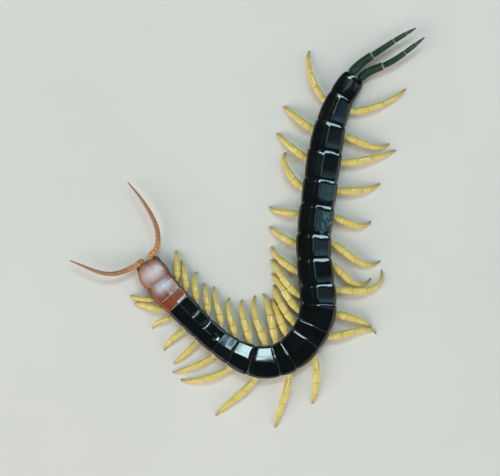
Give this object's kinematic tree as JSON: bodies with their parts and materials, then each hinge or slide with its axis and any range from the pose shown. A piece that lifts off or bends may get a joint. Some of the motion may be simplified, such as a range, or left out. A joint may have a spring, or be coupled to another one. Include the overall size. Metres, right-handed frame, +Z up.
{
  "type": "giant centipede",
  "caption": "Still, life-size giant centipede with a glossy black trunk bent in a hook, a red head end, yellow walking legs, and long terminal legs and antennae held clear of the floor.",
  "frame": {"origin": "centre of the bounding box in plan, at the level of the feet", "axes": "+Z up, the shortest extent; +Y along the longest extent, with the tail end at +Y; the head lies toward -X"},
  "size_m": [0.1246, 0.1403, 0.007],
  "materials": {
    "black_shell": "glossy near-black shell with a blue-green sheen",
    "red_shell": "glossy red-orange to chestnut shell",
    "leg": "satin yellow cuticle with brown claws",
    "antenna": "satin orange-brown",
    "poison_claw": "glossy red-brown, darker at the points",
    "terminal_leg": "glossy dark green"
  },
  "bodies": {
    "root": {"head": "red_shell", "forcipular_plate": "red_shell", "forcipule_left": "poison_claw", "forcipule_right": "poison_claw", "antenna_left": "antenna", "antenna_right": "antenna", "trunk_01": "red_shell", "trunk_02": "red_shell", "trunk_03_04": "black_shell", "trunk_05_06": "black_shell", "trunk_07_08": "black_shell", "trunk_09_10": "black_shell", "trunk_11_12": "black_shell", "trunk_13_14": "black_shell", "trunk_15_16": "black_shell", "trunk_17_18": "black_shell", "trunk_19_20": "black_shell", "trunk_21": "black_shell", "leg_left_01": "leg", "leg_left_02": "leg", "leg_left_03": "leg", "leg_left_04": "leg", "leg_left_05": "leg", "leg_left_06": "leg", "leg_left_07": "leg", "leg_left_08": "leg", "leg_left_09": "leg", "leg_left_10": "leg", "leg_left_11": "leg", "leg_left_12": "leg", "leg_left_13": "leg", "leg_left_14": "leg", "leg_left_15": "leg", "leg_left_16": "leg", "leg_left_17": "leg", "leg_left_18": "leg", "leg_left_19": "leg", "leg_left_20": "leg", "leg_right_01": "leg", "leg_right_02": "leg", "leg_right_03": "leg", "leg_right_04": "leg", "leg_right_05": "leg", "leg_right_06": "leg", "leg_right_07": "leg", "leg_right_08": "leg", "leg_right_09": "leg", "leg_right_10": "leg", "leg_right_11": "leg", "leg_right_12": "leg", "leg_right_13": "leg", "leg_right_14": "leg", "leg_right_15": "leg", "leg_right_16": "leg", "leg_right_17": "leg", "leg_right_18": "leg", "leg_right_19": "leg", "leg_right_20": "leg", "terminal_leg_left": "terminal_leg", "terminal_leg_right": "terminal_leg"}
  },
  "joints": []
}
